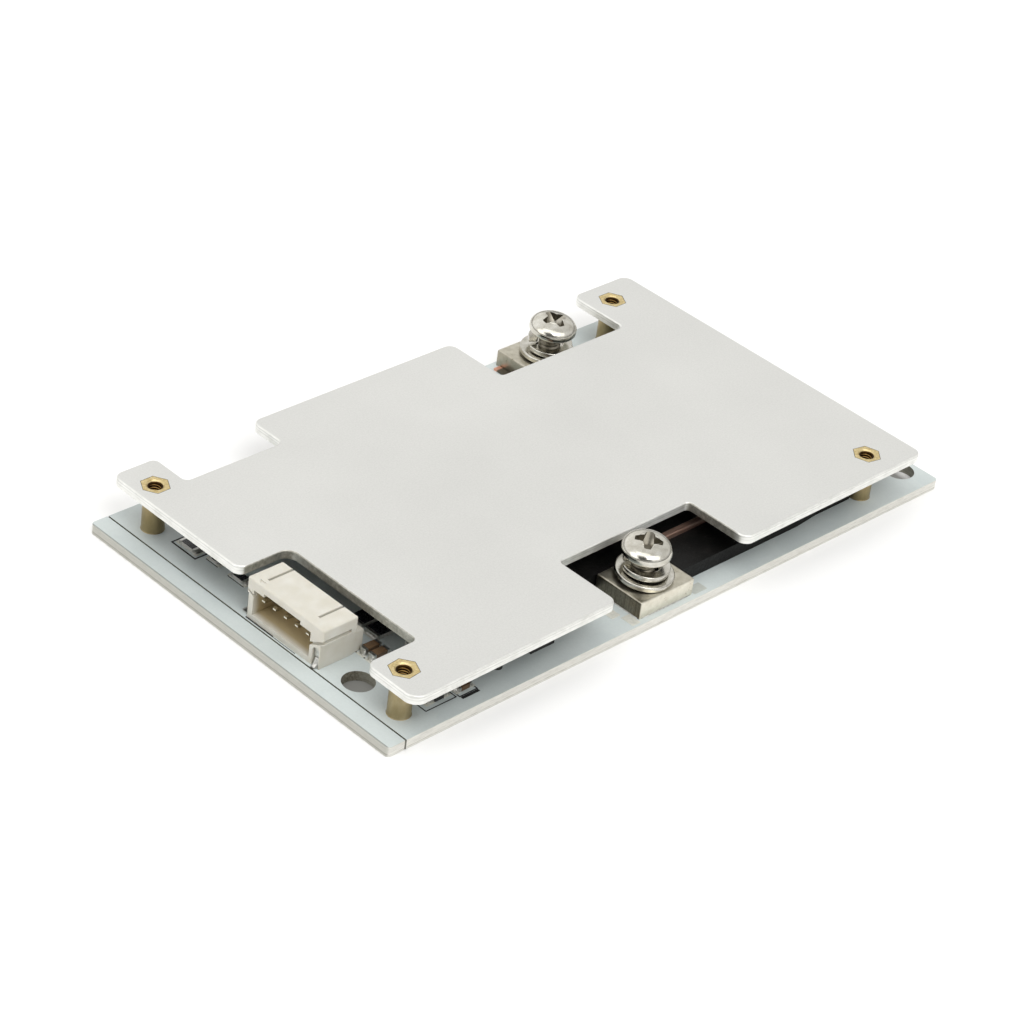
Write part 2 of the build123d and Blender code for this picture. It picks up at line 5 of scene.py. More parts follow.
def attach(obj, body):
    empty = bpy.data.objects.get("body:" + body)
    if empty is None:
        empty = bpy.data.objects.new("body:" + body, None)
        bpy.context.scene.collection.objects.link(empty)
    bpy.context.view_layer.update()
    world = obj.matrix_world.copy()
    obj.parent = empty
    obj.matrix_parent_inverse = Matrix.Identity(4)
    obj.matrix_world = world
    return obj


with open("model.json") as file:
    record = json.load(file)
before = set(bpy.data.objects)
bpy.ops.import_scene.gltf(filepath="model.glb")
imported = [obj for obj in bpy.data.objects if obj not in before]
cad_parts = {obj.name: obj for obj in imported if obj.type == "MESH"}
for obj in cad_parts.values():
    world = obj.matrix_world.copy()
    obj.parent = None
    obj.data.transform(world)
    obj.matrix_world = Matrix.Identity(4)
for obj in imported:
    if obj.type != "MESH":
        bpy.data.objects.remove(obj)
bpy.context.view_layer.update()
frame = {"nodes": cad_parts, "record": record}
nodes = frame["nodes"]
rnd = random.Random(7)
Z0 = 1.75           # board's component side
ZTOP = 9.75         # heat spreader's top


def P(x, y, z):
    """Plan millimetres from the board's corner to metres in the frame."""
    return Vector(((x - 62.25) / 1000, (y - 33.95) / 1000, z / 1000))


def lin(c):
    c = c / 255
    return c / 12.92 if c <= 0.04045 else ((c + 0.055) / 1.055) ** 2.4


def col(r, g, b):
    return (lin(r), lin(g), lin(b), 1.0)


# ---------------------------------------------------------------- materials
class Mat:
    """A small node builder: coordinates in millimetres, one Principled shader."""

    def __init__(self, name):
        self.m = bpy.data.materials.new(name)
        self.m.use_nodes = True
        self.t = self.m.node_tree
        self.t.nodes.clear()
        self.out = self.t.nodes.new("ShaderNodeOutputMaterial")
        self.bsdf = self.t.nodes.new("ShaderNodeBsdfPrincipled")
        self.link(self.bsdf.outputs[0], self.out.inputs[0])
        tc = self.t.nodes.new("ShaderNodeTexCoord")
        mp = self.t.nodes.new("ShaderNodeMapping")
        mp.inputs["Scale"].default_value = (1000, 1000, 1000)
        self.link(tc.outputs["Object"], mp.inputs["Vector"])
        self.mm = mp.outputs[0]
        self.n_bump = None

    def link(self, a, b):
        self.t.links.new(a, b)

    def node(self, kind, **props):
        n = self.t.nodes.new(kind)
        for k, v in props.items():
            setattr(n, k, v)
        return n

    def stretched(self, sx, sy, sz, turn=(0, 0, 0), shift=(0, 0, 0)):
        n = self.node("ShaderNodeMapping")
        n.inputs["Scale"].default_value = (sx, sy, sz)
        n.inputs["Rotation"].default_value = turn
        n.inputs["Location"].default_value = shift
        self.link(self.mm, n.inputs["Vector"])
        return n.outputs[0]

    def noise(self, scale, detail=2.0, rough=0.5, vec=None):
        n = self.node("ShaderNodeTexNoise")
        n.inputs["Scale"].default_value = scale
        n.inputs["Detail"].default_value = detail
        n.inputs["Roughness"].default_value = rough
        self.link(vec or self.mm, n.inputs["Vector"])
        return n.outputs["Fac"]

    def voronoi(self, scale, vec=None, feature="F1"):
        n = self.node("ShaderNodeTexVoronoi", feature=feature)
        n.inputs["Scale"].default_value = scale
        self.link(vec or self.mm, n.inputs["Vector"])
        return n.outputs["Distance"]

    def ramp(self, fac, stops, ease=False):
        n = self.node("ShaderNodeValToRGB")
        if ease:
            n.color_ramp.interpolation = "EASE"
        el = n.color_ramp.elements
        el[0].position, el[0].color = stops[0]
        el[1].position, el[1].color = stops[-1]
        for p, c in stops[1:-1]:
            e = el.new(p)
            e.color = c
        self.link(fac, n.inputs[0])
        return n.outputs[0]

    def vary(self, fac, lo, hi, a=0.3, b=0.7):
        """A number that runs from lo to hi as fac runs from a to b."""
        n = self.node("ShaderNodeMapRange")
        for k, v in (("From Min", a), ("From Max", b), ("To Min", lo), ("To Max", hi)):
            n.inputs[k].default_value = v
        self.link(fac, n.inputs["Value"])
        return n.outputs[0]

    def math(self, op, a, b=None, c=None, clamp=False):
        n = self.node("ShaderNodeMath", operation=op, use_clamp=clamp)
        for i, v in enumerate((a, b, c)):
            if v is None:
                continue
            if isinstance(v, (int, float)):
                n.inputs[i].default_value = v
            else:
                self.link(v, n.inputs[i])
        return n.outputs[0]

    def mix(self, fac, a, b, mode="MIX"):
        n = self.node("ShaderNodeMix", data_type="RGBA", blend_type=mode)
        if isinstance(fac, (int, float)):
            n.inputs[0].default_value = fac
        else:
            self.link(fac, n.inputs[0])
        for i, v in ((6, a), (7, b)):
            if isinstance(v, tuple):
                n.inputs[i].default_value = v
            else:
                self.link(v, n.inputs[i])
        return n.outputs[2]

    def xyz(self, vec=None):
        n = self.node("ShaderNodeSeparateXYZ")
        self.link(vec or self.mm, n.inputs[0])
        return n.outputs

    def normal_z(self):
        g = self.node("ShaderNodeNewGeometry")
        n = self.node("ShaderNodeSeparateXYZ")
        self.link(g.outputs["Normal"], n.inputs[0])
        return n.outputs

    def bump(self, height, distance, strength=1.0):
        n = self.node("ShaderNodeBump")
        n.inputs["Strength"].default_value = strength
        n.inputs["Distance"].default_value = distance / 1000
        self.link(height, n.inputs["Height"])
        if self.n_bump:
            self.link(self.n_bump, n.inputs["Normal"])
        self.n_bump = n.outputs[0]
        self.link(self.n_bump, self.bsdf.inputs["Normal"])

    def soft_edges(self, radius):
        n = self.node("ShaderNodeBevel", samples=4)
        n.inputs["Radius"].default_value = radius / 1000
        self.n_bump = n.outputs[0]
        self.link(self.n_bump, self.bsdf.inputs["Normal"])

    def put(self, **vals):
        for k, v in vals.items():
            s = self.bsdf.inputs[{"color": "Base Color", "metal": "Metallic", "rough": "Roughness",
                                  "spec": "Specular IOR Level", "sss": "Subsurface Weight",
                                  "sss_scale": "Subsurface Scale", "coat": "Coat Weight",
                                  "coat_rough": "Coat Roughness", "aniso": "Anisotropic"}[k]]
            if isinstance(v, (int, float, tuple)):
                s.default_value = v
            else:
                self.link(v, s)
        return self.m


def near_value(m, value, centre, half, soft):
    """1 where value is within half of centre, falling to 0 over soft."""
    d = m.math("ABSOLUTE", m.math("SUBTRACT", value, centre))
    return m.vary(d, 1.0, 0.0, half, half + soft)


def make_aluminium():
    m = Mat("spreader_aluminium")
    x, y, z = m.xyz()
    nx, ny, nz = m.normal_z()
    flat = m.vary(nz, 0.0, 1.0, 0.82, 0.96)
    under = m.vary(nz, 1.0, 0.0, -0.9, -0.6)
    fine = m.noise(3.4, 3.0, 0.65)
    grain = m.noise(11.0, 2.0, 0.7)
    broad = m.noise(0.045, 2.0, 0.5)
    pores = m.voronoi(1.15)
    top_c = m.ramp(m.math("ADD", m.math("MULTIPLY", fine, 0.6), m.math("MULTIPLY", broad, 0.4)),
                   [(0.30, col(213, 213, 210)), (0.52, col(220, 220, 217)), (0.72, col(226, 226, 223))])
    # small pits and light specks of the blasted face
    pit = m.vary(pores, 0.30, 0.0, 0.04, 0.14)
    top_c = m.mix(m.math("MULTIPLY", pit, m.vary(m.noise(0.5, 1.0), 0.0, 1.0, 0.5, 0.62)), top_c, col(196, 196, 192))
    # sawn and milled walls: mottled, with a faint line half way down
    wall_n = m.noise(0.55, 3.0, 0.5, m.stretched(1, 1, 1.6))
    wall_c = m.ramp(wall_n, [(0.28, col(222, 222, 217)), (0.5, col(236, 236, 232)), (0.7, col(243, 243, 239))])
    # painted shade: the connector notch's walls, and the pocket wall facing -x near x 74, are painted darker and
    # mottled
    notch = m.math("MULTIPLY", m.math("MULTIPLY", m.vary(x, 0.0, 1.0, 3.6 - 62.25, 4.6 - 62.25), m.vary(x, 1.0, 0.0, 13.3 - 62.25, 13.5 - 62.25)),
                   m.math("MULTIPLY", m.vary(y, 0.0, 1.0, 9.5 - 33.95, 9.6 - 33.95), m.vary(y, 1.0, 0.0, 38.1 - 33.95, 38.2 - 33.95)))
    notch_wall_shade = m.ramp(m.noise(1.5, 4.0, 0.65), [(0.3, col(118, 115, 102)), (0.5, col(158, 156, 144)), (0.72, col(200, 199, 190))])
    cut = m.math("MULTIPLY", m.math("MULTIPLY", near_value(m, x, 74.0 - 62.25, 0.5, 0.3), m.vary(nx, 1.0, 0.0, -0.7, -0.3)),
                 m.vary(y, 0.0, 1.0, 1.0 - 33.95, 2.0 - 33.95))
    wall_c = m.mix(m.math("MULTIPLY", m.math("MAXIMUM", notch, cut), 0.8), wall_c, notch_wall_shade)
    seam = near_value(m, z, 8.95, 0.03, 0.10)
    wall_c = m.mix(m.math("MULTIPLY", seam, m.vary(m.noise(0.3, 2.0), 0.08, 0.40)), wall_c, col(165, 166, 160))
    # painted shade: a darker line on the wall just below the top edge's rounding
    edge_shade_line = near_value(m, z, 9.42, 0.03, 0.07)
    wall_c = m.mix(m.math("MULTIPLY", edge_shade_line, 0.45), wall_c, col(176, 177, 172))
    c = m.mix(flat, wall_c, top_c)
    # painted shade: the sheet's underside is painted dark grey
    c = m.mix(under, c, m.mix(fine, col(96, 98, 94), col(126, 127, 122)))
    rough = m.mix(flat, (0.42, 0.42, 0.42, 1), (0.47, 0.47, 0.47, 1))
    rough_n = m.math("ADD", rough, m.vary(grain, -0.05, 0.06))
    m.bump(grain, 0.012, 0.30)
    m.bump(m.noise(2.2, 3.0), 0.02, 0.25)
    return m.put(color=c, metal=0.85, rough=rough_n)


def make_mask():
    """Circuit board: white mask over copper, laminate on the sides."""
    m = Mat("board_laminate")
    x, y, z = m.xyz()
    nx, ny, nz = m.normal_z()
    up = m.math("ABSOLUTE", nz)
    face = m.vary(up, 0.0, 1.0, 0.75, 0.9)
    broad = m.noise(0.12, 2.0)
    fine = m.noise(2.6, 3.0, 0.6)
    face_c = m.ramp(m.math("ADD", m.math("MULTIPLY", broad, 0.6), m.math("MULTIPLY", fine, 0.4)),
                    [(0.3, col(197, 205, 204)), (0.55, col(205, 213, 212)), (0.75, col(211, 218, 217))])
    # tracks under the mask show as very slightly darker bands
    tracks = m.voronoi(0.16, m.stretched(1.0, 1.0, 0.02))
    face_c = m.mix(m.vary(tracks, 0.16, 0.0, 0.45, 0.50), face_c, col(186, 196, 197))
    # laminate edges
    weave = m.noise(1.2, 3.0, 0.6, m.stretched(0.6, 0.6, 7.0))
    side_c = m.ramp(weave, [(0.3, col(200, 198, 190)), (0.5, col(218, 216, 209)), (0.72, col(228, 227, 220))])
    lines = near_value(m, z, 0.36, 0.03, 0.07)
    side_c = m.mix(m.math("MULTIPLY", lines, m.vary(m.noise(0.5, 2.0), 0.15, 0.8)), side_c, col(150, 147, 136))
    top_line = near_value(m, z, 1.70, 0.02, 0.05)
    side_c = m.mix(m.math("MULTIPLY", top_line, 0.5), side_c, col(190, 190, 180))
    # drilled walls are raw laminate, painted dark brown-grey as the shade inside the holes
    for hx, hy in ((7.05, 14.4), (120.9, 5.6), (120.9, 63.4), (21.5, 64.9)):
        dx = m.math("SUBTRACT", x, hx - 62.25)
        dy = m.math("SUBTRACT", y, hy - 33.95)
        d2 = m.math("ADD", m.math("MULTIPLY", dx, dx), m.math("MULTIPLY", dy, dy))
        hole_wall_shade = m.ramp(m.noise(2.4, 4.0, 0.7), [(0.3, col(92, 88, 76)), (0.55, col(136, 132, 118)), (0.75, col(168, 164, 150))])
        side_c = m.mix(m.vary(d2, 1.0, 0.0, 8.0, 9.5), side_c, hole_wall_shade)
    # painted shade: the sides facing -x are painted darker, with a darker band low down
    left_side_shade = m.vary(nx, 1.0, 0.0, -0.9, -0.6)
    side_c = m.mix(m.math("MULTIPLY", left_side_shade, 0.55), side_c, col(150, 150, 140))
    side_c = m.mix(m.math("MULTIPLY", left_side_shade, m.math("MULTIPLY", near_value(m, z, 0.45, 0.05, 0.08), 0.5)), side_c, col(112, 112, 102))
    rim = m.math("MULTIPLY", m.vary(x, 1.0, 0.0, 0.16 - 62.25, 0.26 - 62.25), 0.75)
    face_c = m.mix(rim, face_c, col(112, 116, 110))
    c = m.mix(face, side_c, face_c)
    # score line and its faces are raw laminate, painted dark as the shade in the groove
    groove_shade = m.math("MULTIPLY", near_value(m, x, 3.4 - 62.25, 0.16, 0.03), m.vary(up, 1.0, 0.0, 0.80, 0.97))
    c = m.mix(groove_shade, c, col(96, 95, 84))
    rough = m.vary(fine, 0.36, 0.50)
    m.bump(m.noise(5.0, 2.0), 0.02, 0.25)
    return m.put(color=c, rough=rough, spec=0.45)


def make_brass():
    m = Mat("standoff_brass")
    x, y, z = m.xyz()
    nx, ny, nz = m.normal_z()
    n1 = m.noise(2.5, 3.0, 0.6)
    top = m.vary(z, 0.0, 1.0, 9.3, 9.6)
    c_top = m.ramp(n1, [(0.3, col(190, 168, 116)), (0.55, col(212, 193, 144)), (0.75, col(228, 212, 170))])
    c_bar = m.ramp(m.noise(0.45, 3.0, 0.5, m.stretched(1, 1, 0.6)),
                   [(0.3, col(148, 133, 96)), (0.55, col(166, 150, 113)), (0.75, col(184, 169, 134))])
    # tinned where solder has crept up the foot
    foot = m.vary(m.math("ADD", z, m.math("MULTIPLY", m.noise(0.9, 2.0), 1.2)), 1.0, 0.0, 2.1, 2.7)
    c_bar = m.mix(m.math("MULTIPLY", foot, 0.25), c_bar, col(180, 172, 150))
    c = m.mix(top, c_bar, c_top)
    # painted shade: inside the thread the brass is painted dark brown, darkest at the thread roots
    for hx, hy in ((6.9, 5.4), (7.1, 62.6), (109.3, 4.7), (109.4, 63.7)):
        dx = m.math("SUBTRACT", x, hx - 62.25)
        dy = m.math("SUBTRACT", y, hy - 33.95)
        d2 = m.math("ADD", m.math("MULTIPLY", dx, dx), m.math("MULTIPLY", dy, dy))
        crest = m.vary(d2, 1.0, 0.0, 0.93 * 0.93, 1.00 * 1.00)
        bore_shade = m.vary(d2, 1.0, 0.0, 1.20 * 1.20, 1.28 * 1.28)
        c = m.mix(bore_shade, c, m.mix(crest, col(58, 38, 14), col(150, 118, 66)))
    turned = m.noise(1.0, 1.0, 0.5, m.stretched(0.4, 0.4, 9.0))
    m.bump(turned, 0.006, 0.12)
    return m.put(color=c, metal=m.vary(z, 0.80, 0.94, 8.0, 9.0), rough=m.vary(n1, 0.32, 0.44))


def make_nickel_block():
    m = Mat("terminal_nickel")
    x, y, z = m.xyz()
    nx, ny, nz = m.normal_z()
    n1 = m.noise(0.9, 3.0, 0.6)
    c = m.ramp(n1, [(0.3, col(172, 167, 151)), (0.52, col(190, 185, 170)), (0.75, col(204, 200, 187))])
    streak = m.noise(1.0, 2.0, 0.55, m.stretched(3.2, 3.2, 0.25))
    # painted shade: the blocks' sides facing -x are painted dark, the near block's darker and streaked
    side = m.vary(nx, 1.0, 0.0, -0.9, -0.5)
    near = m.vary(y, 1.0, 0.0, 0.0, 4.0)
    c = m.mix(m.math("MULTIPLY", side, m.math("MULTIPLY", near, m.vary(streak, 0.80, 0.95, 0.38, 0.62))), c,
              m.ramp(m.noise(2.6, 4.0, 0.65), [(0.35, col(82, 77, 65)), (0.6, col(102, 96, 83)), (0.8, col(140, 134, 120))]))
    c = m.mix(m.math("MULTIPLY", side, m.math("MULTIPLY", m.math("SUBTRACT", 1.0, near), 0.5)), c, col(124, 118, 102))
    # painted light: the faces toward -y are painted lighter and made less metallic
    front = m.vary(ny, 1.0, 0.0, -0.9, -0.5)
    c = m.mix(front, c, m.ramp(n1, [(0.3, col(212, 206, 190)), (0.7, col(230, 226, 212))]))
    m.bump(m.noise(5.0, 3.0, 0.6), 0.015, 0.35)
    m.bump(streak, 0.003, 0.1)
    return m.put(color=c, metal=m.vary(front, 1.0, 0.72, 0.0, 1.0), rough=m.vary(n1, 0.27, 0.38))


def make_bright(name, lo, mid, hi, r0, r1, tint=None):
    m = Mat(name)
    n1 = m.noise(0.7, 3.0, 0.5)
    c = m.ramp(n1, [(0.28, col(*lo)), (0.52, col(*mid)), (0.75, col(*hi))])
    specks = m.vary(m.voronoi(0.9), 0.4, 0.0, 0.02, 0.07)
    c = m.mix(specks, c, col(*(int(v * 0.8) for v in lo)))
    rough = m.vary(n1, r0, r1)
    # painted shade: on the screws the cross recess and the shank just under the head, and on the washers the part
    # just under the head, are painted dark and made rougher
    if tint:
        x, y, z = m.xyz()
        nx, ny, nz = m.normal_z()
        recess_shank_shade = None
        for (tx, ty, tz), (lx, ly, lz) in tint:
            h = m.math("SUBTRACT", z, tz)
            dx = m.math("SUBTRACT", m.math("SUBTRACT", x, tx - 62.25), m.math("MULTIPLY", h, lx / lz))
            dy = m.math("SUBTRACT", m.math("SUBTRACT", y, ty - 33.95), m.math("MULTIPLY", h, ly / lz))
            r2 = m.math("ADD", m.math("MULTIPLY", dx, dx), m.math("MULTIPLY", dy, dy))
            in_head = m.math("MULTIPLY", m.vary(h, 0.0, 1.0, 5.2, 5.3), m.vary(r2, 1.0, 0.0, 2.35 * 2.35, 2.5 * 2.5))
            steep = m.vary(nz, 1.0, 0.0, 0.55, 0.80)
            deep = m.vary(h, 1.0, 0.0, 5.9, 6.5)
            recess = m.math("MULTIPLY", in_head, m.math("MAXIMUM", steep, deep))
            shank = m.math("MULTIPLY", m.vary(h, 1.0, 0.0, 4.8, 4.95), m.vary(r2, 1.0, 0.0, 2.1 * 2.1, 2.3 * 2.3))
            if name == "washer_steel":
                shank = m.math("MULTIPLY", m.vary(h, 0.0, 0.65, 3.3, 4.1), m.vary(r2, 1.0, 0.0, 4.0 * 4.0, 4.3 * 4.3))
            both = m.math("MAXIMUM", recess, shank)
            recess_shank_shade = both if recess_shank_shade is None else m.math("MAXIMUM", recess_shank_shade, both)
        c = m.mix(m.math("MULTIPLY", recess_shank_shade, 0.85), c, m.mix(n1, col(96, 90, 77), col(132, 125, 110)))
        rough = m.math("ADD", rough, m.math("MULTIPLY", recess_shank_shade, 0.22))
    m.bump(m.noise(0.8, 2.0), 0.006, 0.15)
    return m.put(color=c, metal=1.0, rough=rough)


def make_ivory():
    m = Mat("connector_nylon")
    x, y, z = m.xyz()
    n1 = m.noise(0.35, 2.0)
    n2 = m.noise(4.0, 3.0, 0.6)
    c = m.ramp(n1, [(0.3, col(201, 197, 184)), (0.6, col(209, 206, 196)), (0.8, col(215, 213, 204))])
    c = m.mix(m.vary(n2, 0.10, 0.0, 0.35, 0.5), c, col(192, 186, 168))
    # painted shade: the housing's cavity is painted darker and warmer
    shaded_inside = m.math("MULTIPLY", m.vary(x, 0.0, 1.0, 4.35 - 62.25, 5.4 - 62.25), m.vary(x, 1.0, 0.0, 9.6 - 62.25, 9.9 - 62.25))
    shaded_inside = m.math("MULTIPLY", shaded_inside, m.math("MULTIPLY", m.vary(z, 0.0, 1.0, 2.6, 2.7), m.vary(z, 1.0, 0.0, 7.85, 7.95)))
    shaded_inside = m.math("MULTIPLY", shaded_inside, m.math("MULTIPLY", m.vary(y, 0.0, 1.0, 22.15 - 33.95, 22.25 - 33.95), m.vary(y, 1.0, 0.0, 35.25 - 33.95, 35.35 - 33.95)))
    c = m.mix(shaded_inside, c, col(186, 170, 134))
    m.soft_edges(0.09)
    m.bsdf.inputs["Subsurface Radius"].default_value = (1.0, 0.85, 0.6)
    m.bump(m.noise(7.0, 2.0), 0.01, 0.3)
    m.bump(m.noise(1.1, 2.0), 0.03, 0.12)
    return m.put(color=c, rough=m.vary(n2, 0.36, 0.48), spec=0.5, sss=0.12, sss_scale=0.0006)


def make_tin():
    m = Mat("tinned_metal")
    n1 = m.noise(2.2, 4.0, 0.65)
    c = m.ramp(n1, [(0.3, col(176, 175, 170)), (0.52, col(206, 205, 200)), (0.75, col(226, 226, 222))])
    m.bump(m.noise(6.0, 2.0), 0.02, 0.35)
    return m.put(color=c, metal=1.0, rough=m.vary(n1, 0.28, 0.44))


def make_pad_tin():
    m = Mat("pad_tin")
    x, y, z = m.xyz()
    n1 = m.noise(1.6, 4.0, 0.65)
    c = m.ramp(n1, [(0.3, col(198, 198, 188)), (0.52, col(212, 212, 202)), (0.75, col(224, 224, 216))])
    # the patch right of the battery block is half covered by the mask
    faint = m.vary(x, 0.0, 1.0, 63.0 - 62.25, 64.5 - 62.25)
    c = m.mix(m.math("MULTIPLY", faint, 0.55), c, col(172, 180, 176))
    m.bump(m.noise(6.0, 2.0), 0.02, 0.3)
    return m.put(color=c, metal=m.vary(n1, 0.05, 0.14), rough=m.vary(n1, 0.34, 0.50))


def make_pin():
    m = Mat("connector_pin_tin")
    nx, ny, nz = m.normal_z()
    x, y, z = m.xyz()
    n1 = m.noise(3.0, 3.0, 0.6)
    c = m.ramp(n1, [(0.3, col(134, 122, 94)), (0.7, col(164, 152, 122))])
    # painted highlight: the pins' end faces toward -x are painted near white
    tip = m.math("MULTIPLY", m.vary(nx, 1.0, 0.0, -0.95, -0.75), m.vary(x, 1.0, 0.0, 5.0 - 62.25, 5.4 - 62.25))
    c = m.mix(tip, c, col(228, 224, 208))
    m.bump(n1, 0.01, 0.3)
    return m.put(color=c, metal=0.6, rough=m.vary(n1, 0.38, 0.5))


def make_copper():
    m = Mat("copper_bar")
    n1 = m.noise(1.0, 3.0, 0.6, m.stretched(0.16, 2.2, 2.2))
    n2 = m.noise(0.5, 3.0, 0.6)
    c = m.ramp(n1, [(0.3, col(150, 116, 102)), (0.5, col(180, 146, 130)), (0.75, col(204, 180, 166))])
    c = m.mix(m.vary(n2, 0.0, 0.5, 0.45, 0.7), c, col(126, 114, 104))
    x, y, z = m.xyz()
    # painted shade: the tongue is painted dark from y 55.6 to 66.2; beyond 66.3 its bare end shows copper
    tongue_shade = m.math("MULTIPLY", m.vary(y, 1.0, 0.0, 66.2 - 33.95, 66.5 - 33.95), m.vary(y, 0.0, 1.0, 55.3 - 33.95, 55.6 - 33.95))
    c = m.mix(tongue_shade, c, col(96, 90, 78))
    bare = m.vary(y, 0.0, 1.0, 66.3 - 33.95, 66.6 - 33.95)
    c = m.mix(bare, c, m.mix(n2, col(218, 158, 134), col(236, 186, 164)))
    m.bump(n1, 0.02, 0.4)
    return m.put(color=c, metal=0.75, rough=m.vary(n2, 0.38, 0.52))


def make_potting():
    m = Mat("black_potting")
    n1 = m.noise(0.35, 3.0, 0.6)
    n2 = m.noise(5.0, 3.0, 0.7)
    c = m.ramp(n1, [(0.3, col(10, 10, 9)), (0.6, col(18, 17, 16)), (0.85, col(30, 28, 26))])
    dust = m.vary(m.voronoi(1.9), 0.6, 0.0, 0.02, 0.10)
    c = m.mix(dust, c, col(96, 92, 84))
    m.bump(n1, 0.5, 0.5)
    m.bump(n2, 0.03, 0.5)
    return m.put(color=c, rough=m.vary(n2, 0.42, 0.66), spec=0.22)


def make_pad():
    m = Mat("thermal_pad")
    n1 = m.noise(3.0, 3.0, 0.7)
    c = m.ramp(n1, [(0.3, col(16, 16, 16)), (0.7, col(26, 26, 26))])
    m.bump(n1, 0.06, 0.5)
    return m.put(color=c, rough=m.vary(n1, 0.72, 0.88), spec=0.15)


def make_mould():
    m = Mat("black_mould")
    n1 = m.noise(7.0, 3.0, 0.7)
    c = m.ramp(n1, [(0.3, col(28, 28, 28)), (0.7, col(48, 47, 46))])
    m.soft_edges(0.07)
    m.bump(n1, 0.02, 0.6)
    return m.put(color=c, rough=m.vary(n1, 0.46, 0.62), spec=0.45)


def make_chip(name, lo, hi, edge, r0, r1):
    m = Mat(name)
    n1 = m.noise(4.0, 3.0, 0.6)
    c = m.ramp(n1, [(0.3, col(*lo)), (0.7, col(*hi))])
    nx, ny, nz = m.normal_z()
    c = m.mix(m.vary(nz, 0.75, 0.0, 0.2, 0.7), c, col(*edge))
    m.soft_edges(0.06)
    m.bump(n1, 0.015, 0.4)
    return m.put(color=c, rough=m.vary(n1, r0, r1), spec=0.5)


def make_ink_and_shadow():
    m = Mat("ink_and_painted_shadow")
    n1 = m.noise(3.0, 3.0, 0.6)
    c = m.ramp(n1, [(0.3, col(24, 24, 24)), (0.7, col(52, 52, 52))])
    return m.put(color=c, rough=m.vary(n1, 0.55, 0.75), spec=0.3)


MATS = {
    "board_laminate": make_mask(),
    "spreader_aluminium": make_aluminium(),
    "standoff_brass": make_brass(),
    "terminal_nickel": make_nickel_block(),
    "screw_steel": make_bright("screw_steel", (186, 182, 171), (206, 203, 193), (221, 219, 211), 0.13, 0.20,
                               (((58.76, 6.81, 4.21), (-0.0232, -0.0857, 0.9960)), ((93.31, 62.81, 4.46), (0.0040, -0.0895, 0.9960)))),
    "washer_steel": make_bright("washer_steel", (178, 175, 165), (199, 196, 187), (216, 214, 206), 0.15, 0.23,
                                (((58.76, 6.81, 4.21), (-0.0232, -0.0857, 0.9960)), ((93.31, 62.81, 4.46), (0.0040, -0.0895, 0.9960)))),
    "connector_nylon": make_ivory(),
    "tinned_metal": make_tin(),
    "copper_bar": make_copper(),
    "black_potting": make_potting(),
    "thermal_pad": make_pad(),
    "black_mould": make_mould(),
    "chip_black": make_chip("chip_black", (20, 21, 23), (38, 39, 42), (212, 210, 204), 0.22, 0.34),
    "chip_brown": make_chip("chip_brown", (92, 71, 49), (116, 92, 67), (96, 74, 52), 0.44, 0.58),
}
INK_AND_SHADOW = make_ink_and_shadow()

node_slot = {s["node"]: s["material_slot"] for s in frame["record"]["subparts"]}
PIN = make_pin()
PAD_TIN = make_pad_tin()
for name, ob in nodes.items():
    ob.data.materials.clear()
    ob.data.materials.append(PIN if name == "connector_pins" else MATS[node_slot[name]])


# ------------------------------------------------------------ added pieces
def new_piece(name, bm, slot, mat=None, smooth=False):
    me = bpy.data.meshes.new(name)
    bmesh.ops.recalc_face_normals(bm, faces=bm.faces)
    bm.normal_update()
    bm.to_mesh(me)
    bm.free()
    for p in me.polygons:
        p.use_smooth = smooth
    ob = bpy.data.objects.new(name, me)
    bpy.context.scene.collection.objects.link(ob)
    me.materials.append(mat or MATS[slot])
    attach(ob, "root")
    return ob


def prism(bm, pts, z0, z1):
    """A flat plate over a plan polygon (mm), between two heights (mm)."""
    lo = [bm.verts.new(P(x, y, z0)) for x, y in pts]
    hi = [bm.verts.new(P(x, y, z1)) for x, y in pts]
    n = len(pts)
    bm.faces.new(list(reversed(lo)))
    bm.faces.new(hi)
    for i in range(n):
        bm.faces.new((lo[i], lo[(i + 1) % n], hi[(i + 1) % n], hi[i]))


def bar(bm, a, b, w, z0=Z0, z1=Z0 + 0.02):
    """A straight printed line from a to b, w wide, with square ends."""
    ax, ay = a
    bx, by = b
    d = math.hypot(bx - ax, by - ay)
    ux, uy = (bx - ax) / d, (by - ay) / d
    h = w / 2
    ax, ay, bx, by = ax - ux * h, ay - uy * h, bx + ux * h, by + uy * h
    prism(bm, [(ax + uy * h, ay - ux * h), (bx + uy * h, by - ux * h),
               (bx - uy * h, by + ux * h), (ax - uy * h, ay + ux * h)], z0, z1)


def frame_of(bm, x0, y0, x1, y1, w=0.16, gap=None):
    """A printed box round a part; gap leaves the middle of the long sides open."""
    if gap is None:
        for a, b in (((x0, y0), (x1, y0)), ((x1, y0), (x1, y1)), ((x1, y1), (x0, y1)), ((x0, y1), (x0, y0))):
            # sides meet at their ends without lying on each other
            ax, ay = a
            bx, by = b
            d = math.hypot(bx - ax, by - ay)
            ux, uy = (bx - ax) / d, (by - ay) / d
            bar(bm, (ax + ux * 0, ay + uy * 0), (bx - ux * w, by - uy * w), w)
    else:
        g = gap / 2
        if x1 - x0 >= y1 - y0:
            m = (x0 + x1) / 2
            for s, e in ((x0, -1), (x1, 1)):
                inner = m + e * g
                bar(bm, (s - e * w, y0), (inner, y0), w)
                bar(bm, (s - e * w, y1), (inner, y1), w)
                bar(bm, (s, y0), (s, y1), w)
        else:
            m = (y0 + y1) / 2
            for s, e in ((y0, -1), (y1, 1)):
                inner = m + e * g
                bar(bm, (x0, s - e * w), (x0, inner), w)
                bar(bm, (x1, s - e * w), (x1, inner), w)
                bar(bm, (x0, s), (x1, s), w)


ink_and_shadow = bmesh.new()
